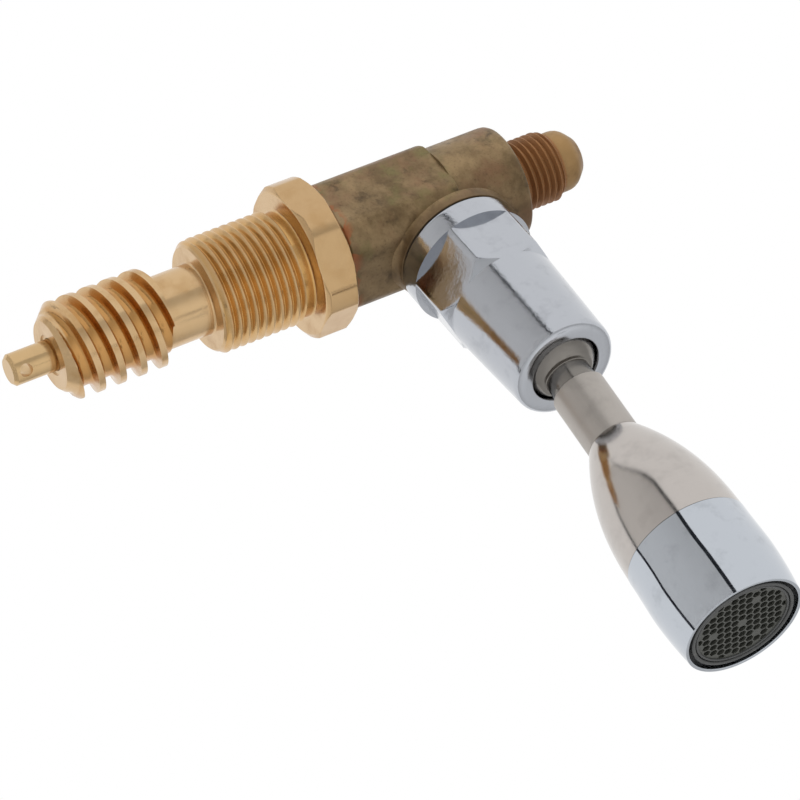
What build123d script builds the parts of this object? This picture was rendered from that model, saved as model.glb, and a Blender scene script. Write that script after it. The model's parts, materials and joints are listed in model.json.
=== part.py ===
"""Hot-water tap of a professional coffee machine: bonnet, tee body, ball-jointed spout and aerator.

Millimetres, +Z up. The main axis lies along Y, with the knob's end towards -Y and the inlet towards +Y.
The origin is on that axis, at the hexagon face that seats against the machine's panel.
"""
from build123d import *
import os
from math import cos, radians, sin, sqrt

# Clearances
RUNNING = 0.05
TOUCH = 0.05

# Bonnet, outside
COARSE_R = 6.78
COARSE_LENGTH = 15.3
COARSE_LEAD_IN = 2.0
COARSE_PITCH = 3.06
COARSE_STARTS = 2
COARSE_ROOT_R = 5.3
COARSE_CREST = 1.16
COARSE_FOOT = 1.56
COARSE_SINK = 0.3
COARSE_START_ANGLE = -34.7
NECK_R = 4.98
NECK_LENGTH = 6.6
PANEL_THREAD_R = 8.0
PANEL_THREAD_LENGTH = 13.8
PANEL_THREAD_CHAMFER = 0.8
RELIEF_WIDTH = 1.7
RELIEF_R = 7.4
HEX_FLATS = 20.0
HEX_TURNED_R = 10.75
HEX_EDGE = 0.25
HEX_LENGTH = 5.0
HEX_CORNER_ANGLE = 34.8
SKIRT_R = 6.0
SKIRT_LENGTH = 11.1

# Spindle and what it carries
SPINDLE_R = 2.2
SPINDLE_REACH = 6.1
SPINDLE_CHAMFER = 0.45
PISTON_R = 3.45
PISTON_LENGTH = 9.0
KNOB_PIN_R = 0.9
KNOB_PIN_FROM_END = 1.75
KNOB_PIN_ANGLE = -64.0
ORING_WIRE_R = 0.47
ORING_GROOVE_R = 2.5
ORING_GROOVE_WIDTH = 1.4
ORING_SPACING = 4.4
STROKE = 3.0
STROKE_SPARE = 0.5

# Bonnet, inside
FRONT_BORE_R = 2.8
GUIDE_LENGTH = 16.0
SEAL_BORE_LENGTH = 12.8
SPRING_BORE_R = 4.6
SPRING_BORE_LENGTH = 12.4

# Closing spring and valve
SPRING_WIRE_R = 0.4
SPRING_MEAN_R = 4.05
SPRING_TURNS = 7
WASHER_R = 4.5
WASHER_T = 0.6
HOLDER_R = 4.8
HOLDER_LENGTH = 5.4
HOLDER_CUP_R = 4.1
HOLDER_CUP_DEPTH = 1.4
HOLDER_FLOOR = 1.2
GASKET_T = 2.2
SCREW_R = 0.9
SCREW_HEAD_R = 1.7
SCREW_HEAD_T = 0.8
SCREW_GRIP = 1.6
SEAT_OUTER_R = 3.2
SEAT_HEIGHT = 0.8

# Copper joint between bonnet and body
COPPER_T = 0.5
COPPER_R = 8.0

# Tee body
BODY_FLATS = 15.2
BODY_CORNER_R = 8.75
SQUARE_LENGTH = 17.7
BODY_LENGTH = 28.0
BODY_ROUND_R = 8.05
BODY_END_ROUNDING = 1.0
BODY_START_CHAMFER = 0.7
BRANCH_FROM_START = 15.6
CAVITY_LENGTH = 21.6
WATERWAY_R = 2.5
FLARE_THREAD_R = 5.0
FLARE_THREAD_LENGTH = 7.2
FLARE_THREAD_CHAMFER = 0.5
PILOT_R = 4.3
PILOT_LENGTH = 2.2
CONE_LENGTH = 1.8

# Branch boss and spigot, measured down the branch axis from the main axis
BOSS_R = 8.9
BOSS_START = 7.2
BOSS_END = 8.95
BOSS_EDGE = 0.3
SPIGOT_R = 5.95
SPIGOT_ABOVE_BALL = 8.3
BRANCH_BORE_R = 3.5

# Ball nut, measured down the branch axis from the main axis
NUT_GASKET_T = 0.3
COLLAR_R = 8.95
COLLAR_LENGTH = 3.35
NUT_HEX_FLATS = 15.8
NUT_HEX_LENGTH = 6.6
NUT_HEX_CORNER_ANGLE = 35.3
BARREL_TOP_R = 7.95
BARREL_MOUTH_R = 7.3
MOUTH_ROUNDING = 1.1
MOUTH_HOLE_R = 4.97
MOUTH_LIP = 0.8
NUT_BORE_R = 6.0

# Ball joint
BALL_R = 5.75
BALL_DEPTH = 32.26
SPOUT_TILT = 7.2
SPOUT_TILT_TOWARDS = 198.0
SEAT_GASKET_T = 0.8
BALL_SEAT_R = 5.93
BALL_SEAT_BORE_R = 2.6
BALL_SEAT_LIP_R = 5.2
BALL_TOP_CUT = 4.2
BALL_FACE = 4.4
BALL_WATERWAY_R = 1.8

# Spout, measured along its own axis from the ball's centre
NECK_TUBE_R = 3.15
SLEEVE_R = 3.73
SLEEVE_START = 7.4
SLEEVE_END = 16.8
SLEEVE_SOCKET_DEPTH = 6.4
TAIL_R = 2.6
TAIL_LENGTH = 3.5
BELL_MOUTH_R = 8.65
BELL_LENGTH = 18.8
BELL_SHAPE = ((0.13, 0.29), (0.425, 0.73), (0.745, 0.93))
BELL_INSIDE_WIDE = 0.65
BELL_WALL = 1.75
BELL_TOP_WALL = 3.5
BELL_SPIGOT_R = 7.85
BELL_SPIGOT_LENGTH = 4.2

# Aerator
RING_R = 8.82
RING_LENGTH = 13.9
RING_SEAM = 0.1
RING_END_ROUNDING = 0.9
RING_LIP_R = 8.0
RING_LIP_HOOK = 0.25
CARTRIDGE_SEAL_T = 1.1
CARTRIDGE_FLANGE_T = 1.0
CARTRIDGE_R = 7.17
CARTRIDGE_WALL = 0.45
CARTRIDGE_INSET = 0.6
GRID_T = 1.5
GRID_CELL = 1.0
GRID_WALL = 0.2
GRID_RIM = 0.1
GRID_TURN = 9.0
GRID_BLANKS = ((0, 0), (0, 4), (4, -2), (-4, -2))
RUBBER_RING_T = 1.2
RUBBER_RING_INSET = 0.9

# Places along the main axis
thread_front = -PANEL_THREAD_LENGTH
neck_front = thread_front - NECK_LENGTH
bonnet_front = neck_front - COARSE_LENGTH
spindle_end = bonnet_front - SPINDLE_REACH
bonnet_back = HEX_LENGTH + SKIRT_LENGTH
spring_shoulder = bonnet_back - SPRING_BORE_LENGTH
seal_shoulder = spring_shoulder - SEAL_BORE_LENGTH
guide_front = seal_shoulder - GUIDE_LENGTH
piston_front = seal_shoulder + STROKE + STROKE_SPARE
piston_back = piston_front + PISTON_LENGTH
body_start = HEX_LENGTH + COPPER_T
branch_y = body_start + BRANCH_FROM_START
square_end = body_start + SQUARE_LENGTH
body_end = body_start + BODY_LENGTH
cavity_end = body_start + CAVITY_LENGTH
seat_face = cavity_end - SEAT_HEIGHT
gasket_face = seat_face - TOUCH
gasket_back = gasket_face - GASKET_T
holder_end = gasket_back + HOLDER_CUP_DEPTH
holder_start = holder_end - HOLDER_LENGTH
spindle_back = gasket_back - HOLDER_FLOOR
washer_front = holder_start - WASHER_T
flare_end = body_end + FLARE_THREAD_LENGTH
pilot_end = flare_end + PILOT_LENGTH
nose = pilot_end + CONE_LENGTH

# Radii that fit another piece
guide_r = SPINDLE_R + RUNNING
seal_bore_r = PISTON_R + RUNNING
cavity_r = SKIRT_R + RUNNING
screw_hole_r = SCREW_R + RUNNING
ball_socket_r = BALL_R + RUNNING

# Places down the branch axis
collar_top = BOSS_END + NUT_GASKET_T
nut_hex_top = collar_top + COLLAR_LENGTH
barrel_top = nut_hex_top + NUT_HEX_LENGTH
mouth = BALL_DEPTH + sqrt(ball_socket_r**2 - MOUTH_HOLE_R**2) + MOUTH_LIP
branch_end = BALL_DEPTH - SPIGOT_ABOVE_BALL
ball_seat_top = branch_end + SEAT_GASKET_T + TOUCH

# Places along the spout
bell_end = SLEEVE_END + BELL_LENGTH
ring_start = bell_end + RING_SEAM
ring_end = ring_start + RING_LENGTH
spigot_end = bell_end + BELL_SPIGOT_LENGTH
cartridge_start = spigot_end + CARTRIDGE_SEAL_T
flange_end = cartridge_start + CARTRIDGE_FLANGE_T
cartridge_end = ring_end - CARTRIDGE_INSET
grid_r = CARTRIDGE_R - CARTRIDGE_WALL
lip_inner_r = RING_LIP_R - RING_LIP_HOOK
rubber_end = ring_end - RUBBER_RING_INSET


def turned(*points):
    """A solid turned about Y from a closed outline of (radius, y) points."""
    return revolve(make_face(Polyline(*points, close=True)), Axis.Y)


def turned_edges(*edges):
    """A solid turned about Y from a closed outline of edges."""
    return revolve(make_face(edges), Axis.Y)


def rod(radius, start, end):
    """A plain round bar on the Y axis."""
    return turned((0, start), (radius, start), (radius, end), (0, end))


def tube(outer, inner, start, end):
    """A plain round tube on the Y axis."""
    return turned((inner, start), (outer, start), (outer, end), (inner, end))


def bar(flats, sides, start, end, corner_angle):
    """A regular prism on the Y axis, with a corner at the given angle from +X towards +Z."""
    circumradius = flats / 2 / cos(radians(180 / sides))
    outline = RegularPolygon(circumradius, sides, rotation=corner_angle)
    prism = extrude(Plane.XZ * outline, -(end - start))
    return Pos(0, start, 0) * prism


def hung(shape):
    """Turns a shape made along +Y so that it hangs down the branch axis."""
    return Pos(0, branch_y, 0) * Rot(-90, 0, 0) * shape


def on_spout(shape):
    """Sets a shape made along +Y on the spout's tilted axis, with y = 0 at the ball's centre."""
    heading = SPOUT_TILT_TOWARDS
    tilt = Rot(0, 0, heading) * Rot(0, -SPOUT_TILT, 0) * Rot(0, 0, -heading)
    return Pos(0, branch_y, -BALL_DEPTH) * tilt * Rot(-90, 0, 0) * shape


def knob_thread_ridge():
    """One start of the knob's quick thread: a ridge with steep sides that climbs from front to neck."""
    path = Helix(COARSE_STARTS * COARSE_PITCH, COARSE_LENGTH + 2 * COARSE_PITCH, COARSE_R)
    crest = COARSE_CREST / 2
    foot = COARSE_FOOT / 2
    depth = COARSE_R - COARSE_ROOT_R
    sunk = depth + COARSE_SINK
    section = Plane(path @ 0, x_dir=(1, 0, 0), z_dir=path % 0) * make_face(Polyline(
        (-sunk, -foot), (-depth, -foot), (0, -crest), (0, crest), (-depth, foot), (-sunk, foot), close=True))
    ridge = Rot(-90, 0, 0) * sweep(section, path=path, is_frenet=True)
    return Pos(0, bonnet_front - COARSE_PITCH, 0) * Rot(0, -COARSE_START_ANGLE, 0) * ridge


def bonnet():
    """Turned brass bonnet: quick thread for the knob, neck, panel thread, hexagon and screwed skirt."""
    face_r = COARSE_R - COARSE_LEAD_IN
    cone_end = bonnet_front + COARSE_ROOT_R - face_r
    coarse = turned(
        (0, bonnet_front), (face_r, bonnet_front), (COARSE_ROOT_R, cone_end), (COARSE_ROOT_R, neck_front), (0, neck_front))
    clear_r = COARSE_R + COARSE_SINK
    limits = turned(
        (0, bonnet_front), (face_r, bonnet_front), (clear_r, bonnet_front + clear_r - face_r), (clear_r, neck_front),
        (0, neck_front))
    for start in range(COARSE_STARTS):
        coarse += Rot(0, 360 * start / COARSE_STARTS, 0) * knob_thread_ridge() & limits
    neck = rod(NECK_R, neck_front, thread_front)
    chamfer = PANEL_THREAD_CHAMFER
    panel_thread = turned(
        (0, thread_front), (PANEL_THREAD_R - chamfer, thread_front), (PANEL_THREAD_R, thread_front + chamfer),
        (PANEL_THREAD_R, -RELIEF_WIDTH), (RELIEF_R, -RELIEF_WIDTH), (RELIEF_R, 0), (0, 0))
    edge_r = HEX_TURNED_R - HEX_EDGE
    hexagon = bar(HEX_FLATS, 6, 0, HEX_LENGTH, HEX_CORNER_ANGLE) & turned(
        (0, 0), (edge_r, 0), (HEX_TURNED_R, HEX_EDGE), (HEX_TURNED_R, HEX_LENGTH - HEX_EDGE),
        (edge_r, HEX_LENGTH), (0, HEX_LENGTH))
    skirt = rod(SKIRT_R, HEX_LENGTH, bonnet_back)
    bore = turned(
        (0, bonnet_front), (FRONT_BORE_R, bonnet_front), (FRONT_BORE_R, guide_front), (guide_r, guide_front),
        (guide_r, seal_shoulder), (seal_bore_r, seal_shoulder), (seal_bore_r, spring_shoulder),
        (SPRING_BORE_R, spring_shoulder), (SPRING_BORE_R, bonnet_back), (0, bonnet_back))
    return coarse + neck + panel_thread + hexagon + skirt - bore


def oring_places():
    """Centres of the two seal grooves along the spindle's piston."""
    middle = (piston_front + piston_back) / 2
    return middle - ORING_SPACING / 2, middle + ORING_SPACING / 2


def spindle():
    """Turned spindle: knob end with its pin hole, grooved piston, tail with a hole for the gasket's screw."""
    chamfer = SPINDLE_CHAMFER
    shape = turned(
        (0, spindle_end), (SPINDLE_R - chamfer, spindle_end), (SPINDLE_R, spindle_end + chamfer),
        (SPINDLE_R, piston_front), (PISTON_R, piston_front), (PISTON_R, piston_back), (SPINDLE_R, piston_back),
        (SPINDLE_R, spindle_back), (0, spindle_back))
    for place in oring_places():
        half = ORING_GROOVE_WIDTH / 2
        shape -= tube(PISTON_R + RUNNING, ORING_GROOVE_R, place - half, place + half)
    cross = Cylinder(KNOB_PIN_R, 4 * SPINDLE_R)
    shape -= Pos(0, spindle_end + KNOB_PIN_FROM_END, 0) * Rot(0, 90 - KNOB_PIN_ANGLE, 0) * cross
    return shape - rod(screw_hole_r, spindle_back - SCREW_GRIP - RUNNING, spindle_back)


def oring(place):
    """One round seal in its groove."""
    ring = Torus(ORING_GROOVE_R + RUNNING / 2 + ORING_WIRE_R, ORING_WIRE_R)
    return Pos(0, place, 0) * Rot(90, 0, 0) * ring


def closing_spring():
    """Round-wire compression spring between the bonnet's shoulder and the sliding washer."""
    start = spring_shoulder + SPRING_WIRE_R + TOUCH
    length = washer_front - TOUCH - SPRING_WIRE_R - start
    path = Helix(length / SPRING_TURNS, length, SPRING_MEAN_R)
    section = Plane(path @ 0, z_dir=path % 0) * Circle(SPRING_WIRE_R)
    return Pos(0, start, 0) * Rot(-90, 0, 0) * sweep(section, path=path, is_frenet=True)


def gasket_holder():
    """Cup on the spindle's tail that carries the valve gasket."""
    shape = rod(HOLDER_R, holder_start, holder_end)
    shape -= rod(guide_r, holder_start, spindle_back)
    shape -= rod(screw_hole_r, spindle_back, gasket_back)
    return shape - rod(HOLDER_CUP_R, gasket_back, holder_end)


def gasket_screw():
    """Screw through the gasket into the spindle's tail."""
    return rod(SCREW_R, spindle_back - SCREW_GRIP, gasket_face) + rod(
        SCREW_HEAD_R, gasket_face, gasket_face + SCREW_HEAD_T)


def tee_body():
    """Brass tee from square bar: turned inlet end with a flare nose, and a branch boss with its spigot."""
    chamfer = BODY_START_CHAMFER
    square = bar(BODY_FLATS, 4, body_start, square_end, 45) & turned(
        (0, body_start), (BODY_CORNER_R - chamfer, body_start), (BODY_CORNER_R, body_start + chamfer),
        (BODY_CORNER_R, square_end - chamfer), (BODY_CORNER_R - chamfer, square_end), (0, square_end))
    rounding = BODY_END_ROUNDING
    mid = rounding * (1 - cos(radians(45)))
    end_r = BODY_ROUND_R - rounding
    barrel = turned_edges(
        Polyline((0, body_end), (0, square_end), (BODY_ROUND_R, square_end), (BODY_ROUND_R, body_end - rounding)),
        ThreePointArc((BODY_ROUND_R, body_end - rounding), (BODY_ROUND_R - mid, body_end - mid), (end_r, body_end)),
        Line((end_r, body_end), (0, body_end)))
    edge = FLARE_THREAD_CHAMFER
    flare = turned(
        (0, body_end), (FLARE_THREAD_R, body_end), (FLARE_THREAD_R, flare_end - edge), (PILOT_R, flare_end),
        (PILOT_R, pilot_end), (PILOT_R - CONE_LENGTH, nose), (0, nose))
    boss = hung(turned(
        (0, BOSS_START), (BOSS_R, BOSS_START), (BOSS_R, BOSS_END - BOSS_EDGE), (BOSS_R - BOSS_EDGE, BOSS_END),
        (0, BOSS_END)))
    spigot = hung(rod(SPIGOT_R, BOSS_START, branch_end))
    shape = square + barrel + flare + boss + spigot
    shape -= rod(cavity_r, body_start, cavity_end)
    shape += tube(SEAT_OUTER_R, WATERWAY_R, seat_face, cavity_end)
    shape -= rod(WATERWAY_R, seat_face, nose)
    return shape - hung(rod(BRANCH_BORE_R, 0, branch_end))


def ball_nut():
    """Chromed nut: collar, spanner hexagon, tapering barrel, and a spherical seat at its mouth."""
    collar = rod(COLLAR_R, collar_top, nut_hex_top)
    hexagon = bar(NUT_HEX_FLATS, 6, nut_hex_top, barrel_top, NUT_HEX_CORNER_ANGLE)
    hexagon &= rod(COLLAR_R, nut_hex_top, barrel_top)
    rounding = MOUTH_ROUNDING
    mid = rounding * (1 - cos(radians(45)))
    rim_r = BARREL_MOUTH_R - rounding
    barrel = turned_edges(
        Polyline((0, mouth), (0, barrel_top), (BARREL_TOP_R, barrel_top), (BARREL_MOUTH_R, mouth - rounding)),
        ThreePointArc((BARREL_MOUTH_R, mouth - rounding), (BARREL_MOUTH_R - mid, mouth - mid), (rim_r, mouth)),
        Line((rim_r, mouth), (0, mouth)))
    shape = collar + hexagon + barrel - rod(NUT_BORE_R, collar_top, BALL_DEPTH) - rod(MOUTH_HOLE_R, BALL_DEPTH, mouth)
    return hung(shape - Pos(0, BALL_DEPTH, 0) * Sphere(ball_socket_r))


def ball_seat():
    """Plastic seat ring above the ball, hollowed to the ball's form."""
    lip_y = BALL_DEPTH - sqrt(ball_socket_r**2 - BALL_SEAT_LIP_R**2)
    ring = tube(BALL_SEAT_R, BALL_SEAT_BORE_R, ball_seat_top, lip_y)
    return hung(ring - Pos(0, BALL_DEPTH, 0) * Sphere(ball_socket_r))


def spout_ball():
    """Stainless ball with its neck and the tail that holds the sleeve."""
    top_r = sqrt(BALL_R**2 - BALL_TOP_CUT**2)
    face_r = sqrt(BALL_R**2 - BALL_FACE**2)
    tail_end = SLEEVE_START + SLEEVE_SOCKET_DEPTH - TOUCH
    return on_spout(turned_edges(
        ThreePointArc((top_r, -BALL_TOP_CUT), (BALL_R, 0), (face_r, BALL_FACE)),
        Polyline((face_r, BALL_FACE), (NECK_TUBE_R, BALL_FACE), (NECK_TUBE_R, SLEEVE_START), (TAIL_R, SLEEVE_START),
                 (TAIL_R, tail_end), (BALL_WATERWAY_R, tail_end), (BALL_WATERWAY_R, -BALL_TOP_CUT),
                 (top_r, -BALL_TOP_CUT))))


def spout_sleeve():
    """Matt sleeve between the ball's neck and the bell."""
    socket_r = TAIL_R + RUNNING
    socket_end = SLEEVE_START + SLEEVE_SOCKET_DEPTH
    tail_end = SLEEVE_END + TAIL_LENGTH
    return on_spout(turned(
        (socket_r, SLEEVE_START), (SLEEVE_R, SLEEVE_START), (SLEEVE_R, SLEEVE_END), (TAIL_R, SLEEVE_END),
        (TAIL_R, tail_end), (BALL_WATERWAY_R, tail_end), (BALL_WATERWAY_R, socket_end), (socket_r, socket_end)))


def spout_bell():
    """Polished ogive bell with a screwed spigot for the aerator ring."""
    bore_r = TAIL_R + RUNNING
    inner_r = BELL_SPIGOT_R - BELL_WALL / 2
    bell_gain = BELL_MOUTH_R - SLEEVE_R
    swell = [(SLEEVE_R + gain * bell_gain, SLEEVE_END + along * BELL_LENGTH) for along, gain in BELL_SHAPE]
    outer = Spline((SLEEVE_R, SLEEVE_END), *swell, (BELL_MOUTH_R, bell_end))
    inside_top = SLEEVE_END + BELL_TOP_WALL
    inside_wide = SLEEVE_END + BELL_INSIDE_WIDE * BELL_LENGTH
    return on_spout(turned_edges(outer, Polyline(
        (BELL_MOUTH_R, bell_end), (BELL_SPIGOT_R, bell_end), (BELL_SPIGOT_R, spigot_end), (inner_r, spigot_end),
        (inner_r, inside_wide), (bore_r, inside_top), (bore_r, SLEEVE_END), (SLEEVE_R, SLEEVE_END))))


def aerator_ring():
    """Chromed screw ring with a rounded lip round the insert."""
    thread_r = BELL_SPIGOT_R + RUNNING
    thread_end = flange_end + TOUCH
    rounding = RING_END_ROUNDING
    mid = rounding * (1 - cos(radians(45)))
    hook_y = ring_end - rounding / 2
    ring = turned_edges(
        Polyline((RING_R - rounding, ring_end), (lip_inner_r, hook_y), (RING_LIP_R, hook_y - RING_LIP_HOOK),
                 (RING_LIP_R, thread_end), (thread_r, thread_end), (thread_r, ring_start), (RING_R, ring_start),
                 (RING_R, ring_end - rounding)),
        ThreePointArc((RING_R, ring_end - rounding), (RING_R - mid, ring_end - mid), (RING_R - rounding, ring_end)))
    return on_spout(ring)


def cartridge():
    """Grey plastic cup that carries the honeycomb grid."""
    return on_spout(tube(BELL_SPIGOT_R, grid_r, cartridge_start, flange_end)
                    + tube(CARTRIDGE_R, grid_r, cartridge_start, cartridge_end))


def honeycomb_grid():
    """Flow straightener: a disc of hexagonal cells on a triangular lattice, solid at its moulding points."""
    hole_r = (GRID_CELL - GRID_WALL) / sqrt(3)
    row_step = GRID_CELL * sqrt(3) / 2
    reach = int(grid_r / row_step) + 1
    disc_r = grid_r - RUNNING
    places = []
    for row in range(-reach, reach + 1):
        for column in range(-reach, reach + 1):
            x = (column + 0.5 * (row % 2)) * GRID_CELL
            y = row * row_step
            if (row, column) not in GRID_BLANKS and x * x + y * y < (disc_r - GRID_RIM - hole_r) ** 2:
                places.append((x, y))
    cells = [Pos(x, y) * RegularPolygon(hole_r, 6, rotation=30) for x, y in places]
    face = Rot(0, 0, GRID_TURN) * (Circle(disc_r) - cells)
    return on_spout(Pos(0, cartridge_end, 0) * Rot(90, 0, 0) * extrude(face, GRID_T))


pieces = {
    "bonnet": bonnet(),
    "tee_body": tee_body(),
    "copper_washer": tube(COPPER_R, cavity_r, HEX_LENGTH, body_start),
    "spindle": spindle(),
    "closing_spring": closing_spring(),
    "sliding_washer": tube(WASHER_R, guide_r, washer_front, holder_start),
    "gasket_holder": gasket_holder(),
    "valve_gasket": tube(HOLDER_CUP_R - TOUCH, screw_hole_r, gasket_back, gasket_face),
    "gasket_screw": gasket_screw(),
    "nut_gasket": hung(tube(COLLAR_R - BOSS_EDGE, SPIGOT_R + RUNNING, BOSS_END, collar_top)),
    "ball_nut": ball_nut(),
    "seat_gasket": hung(tube(BALL_SEAT_R, BRANCH_BORE_R, branch_end, branch_end + SEAT_GASKET_T)),
    "ball_seat": ball_seat(),
    "spout_ball": spout_ball(),
    "spout_sleeve": spout_sleeve(),
    "spout_bell": spout_bell(),
    "aerator_seal": on_spout(tube(BELL_SPIGOT_R, BELL_SPIGOT_R - BELL_WALL / 2, spigot_end, cartridge_start)),
    "aerator_ring": aerator_ring(),
    "aerator_cartridge": cartridge(),
    "honeycomb_grid": honeycomb_grid(),
    "rubber_ring": on_spout(tube(RING_LIP_R - TOUCH, CARTRIDGE_R + RUNNING, rubber_end - RUBBER_RING_T, rubber_end)),
}
for end, place in zip(("front", "rear"), oring_places()):
    pieces[f"spindle_seal_{end}"] = oring(place)

os.makedirs("parts", exist_ok=True)
for name, piece in pieces.items():
    export_step(piece, f"parts/{name}.step")
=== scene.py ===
"""Dresses the hot-water tap: threaded brass bonnet, aged brass tee, chromed ball nut and steel spout."""
import json
import bpy
import bmesh
import numpy as np
from mathutils import Matrix, Vector

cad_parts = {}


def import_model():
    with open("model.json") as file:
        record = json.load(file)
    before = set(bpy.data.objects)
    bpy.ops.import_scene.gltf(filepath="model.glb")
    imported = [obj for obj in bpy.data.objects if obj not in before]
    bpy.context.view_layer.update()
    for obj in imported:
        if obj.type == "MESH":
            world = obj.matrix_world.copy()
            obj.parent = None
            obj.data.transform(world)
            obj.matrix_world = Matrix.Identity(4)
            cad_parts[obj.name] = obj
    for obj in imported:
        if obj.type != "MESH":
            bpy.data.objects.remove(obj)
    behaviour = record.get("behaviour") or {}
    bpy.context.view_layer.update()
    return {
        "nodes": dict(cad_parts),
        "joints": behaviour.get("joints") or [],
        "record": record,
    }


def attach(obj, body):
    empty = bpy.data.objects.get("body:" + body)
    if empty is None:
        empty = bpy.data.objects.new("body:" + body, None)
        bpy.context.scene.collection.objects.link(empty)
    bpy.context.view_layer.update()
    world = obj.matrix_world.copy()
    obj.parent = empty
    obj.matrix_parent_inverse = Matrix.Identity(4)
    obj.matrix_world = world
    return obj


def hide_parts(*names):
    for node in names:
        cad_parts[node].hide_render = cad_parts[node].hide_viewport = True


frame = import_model()
record = frame["record"]

MM = 0.001
AROUND = 180

# Bonnet, in millimetres along the main axis from the panel seat
COARSE_R = 6.78
COARSE_ROOT_R = 5.3
COARSE_PITCH = 3.06
COARSE_STARTS = 2
COARSE_LENGTH = 15.3
COARSE_LEAD_IN = 2.0
COARSE_CREST = 1.16
COARSE_GROOVE_AT = -1.1
COARSE_STEP = 0.102
CREST_TRIM = 0.05
NECK_R = 4.98
NECK_LENGTH = 6.6
PANEL_R = 8.0
PANEL_ROOT_R = 7.35
PANEL_PITCH = 1.25
PANEL_LENGTH = 13.8
PANEL_CHAMFER = 0.8
PANEL_LAND = 0.1
PANEL_FLOOR = 0.08
PANEL_ROWS = 15
RELIEF_R = 7.4
RELIEF_WIDTH = 1.7
HEX_FLATS = 20.0
HEX_TURNED_R = 10.75
HEX_EDGE = 0.5
HEX_LENGTH = 5.0
HEX_CORNER = 34.8
HEX_RIM = 0.08
SKIRT_R = 6.0
SKIRT_LENGTH = 11.1
FRONT_BORE_R = 2.8
GUIDE_R = 2.25
FRONT_RECESS = 0.25
SEAL_BORE_R = 3.5
SEAL_BORE_LENGTH = 12.8
SPRING_BORE_R = 4.6
SPRING_BORE_LENGTH = 12.4

# Tee, along the main axis, and its branch down from the main axis
TEE_START = 5.5
TEE_FLATS = 15.2
TEE_CORNER_R = 8.75
TEE_SQUARE_END = 23.2
TEE_ROUND_R = 8.05
TEE_END = 33.5
TEE_ROUNDING = 1.0
CAVITY_R = 6.05
CAVITY_END = 27.1
SEAT_FACE = 26.3
SEAT_OUTER_R = 3.2
INLET_BORE_R = 2.5
FLARE_R = 5.0
FLARE_ROOT_R = 4.42
FLARE_PITCH = 1.0
FLARE_LENGTH = 7.2
FLARE_LAND = 0.14
FLARE_FLOOR = 0.1
FLARE_ROWS = 16
FLARE_RUN_OUT = 0.3
PILOT_R = 4.3
PILOT_LENGTH = 2.2
NOSE_CONE = 1.8
NOSE_ROUNDING = 1.1
BOSS_R = 8.9
BOSS_START = 7.2
BOSS_END = 8.95
BOSS_FLARE = 0.8
BOSS_FLARE_HEIGHT = 1.15
BOSS_LAND = 0.2
BRANCH_SUNK = 3.0
SPIGOT_R = 5.95
SPIGOT_END = 23.96
BRANCH_BORE_R = 3.5

# Ball nut, along the branch from the main axis
COLLAR_TOP = 9.25
COLLAR_R = 8.95
COLLAR_LENGTH = 3.35
NUT_FLATS = 15.8
NUT_HEX_LENGTH = 6.6
NUT_CORNER = 35.3
NUT_SLOPE = 1.5
NUT_FADE = 1.5
NUT_ROWS = 120
BARREL_TOP_R = 8.02
BARREL_MOUTH_R = 7.3
MOUTH_ROUNDING = 1.3
MOUTH_HOLE_R = 4.97
MOUTH_LIP = 0.8
NUT_BORE_R = 6.0
SOCKET_R = 5.8
BALL_DEPTH = 32.26

# Spout, along its own axis from the ball's centre
BALL_R = 5.75
BALL_TOP_CUT = 4.2
BALL_FACE = 4.4
WATERWAY_R = 1.8
NECK_TUBE_R = 3.15
SLEEVE_R = 3.73
SLEEVE_START = 7.4
SLEEVE_END = 16.8
SLEEVE_SOCKET = 6.4
TAIL_R = 2.6
TAIL_PLAY = 0.05
BELL_LENGTH = 18.8
BELL_MOUTH_R = 8.65
BELL_SPIGOT_R = 7.85
BELL_SPIGOT_LENGTH = 4.2
BELL_INSIDE_R = 6.98
BELL_INSIDE_START = 12.2
BELL_TOP_WALL = 3.5
RING_R = 8.82
RING_START = 35.7
RING_LENGTH = 13.9
RING_LIP_R = 7.85
RING_SWELL = 0.1
RING_DRAW_IN = 0.6
RING_POCKET = 8.4
INSERT_R = 7.35
INSERT_INSET = 0.15
FLANGE_R = 7.8
FLANGE_T = 1.0
SEAL_T = 1.1
GRID_INSET = 0.3
GRID_R = 6.4
GRID_PITCH = 1.2
GRID_WALL = 0.2
GRID_DEPTH = 1.5
GRID_TURN = -8.0
RING_BORE_R = 7.9
SPOUT_TILT = np.radians(7.2)

# Widths over which crests and edges are softened, in millimetres
KNOB_SOFT = 0.08
PANEL_SOFT = 0.06
FLARE_SOFT = 0.05
NUT_SOFT = 0.03

# Where finishes and painted shade change, in metres: radii of the grooves, stretches along the main axis,
# heights of the boss
KNOB_GROOVE_RADII = (0.0056, 0.0066)
KNOB_GROOVES = (-0.0343, -0.0206)
PANEL_GROOVE_RADII = (0.0074, 0.0081)
PANEL_GROOVES = (-0.0134, -0.0002)
HEX_STRETCH = (0.0002, 0.0058)
JOINT_STAIN = (0.0058, 0.0074)
BOSS_SHADE = (-0.0086, -0.0070)
INLET_THREAD = (0.0342, 0.0334)
INLET_NOSE = (0.0411, 0.0407)
FINE_SKIN = 0.00002
COARSE_SKIN = 0.00004

# Camera, in metres, from the fit to the photograph
CAMERA_AT = Vector((0.405934, -0.217499, -0.398806))
CAMERA_FORWARD = Vector((-0.688332, 0.367979, 0.625133))
CAMERA_UP = Vector((0.725387, 0.344740, 0.595792))
CAMERA_LENS = 205.65
SENSOR_WIDTH = 36.0

# Point that the lamps and cards stand round, in metres
TAP_MIDDLE = (0, 0.01, -0.03)

theta = np.linspace(0, 2 * np.pi, AROUND + 1)


def axes_from(origin, along, sideways):
    """A turning frame: origin, the +X, axis and +Z directions of a piece turned about its own y axis."""
    along = Vector(along).normalized()
    sideways = Vector(sideways).normalized()
    return np.array(origin, float), np.array(sideways), np.array(along), np.array(sideways.cross(along))


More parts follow.
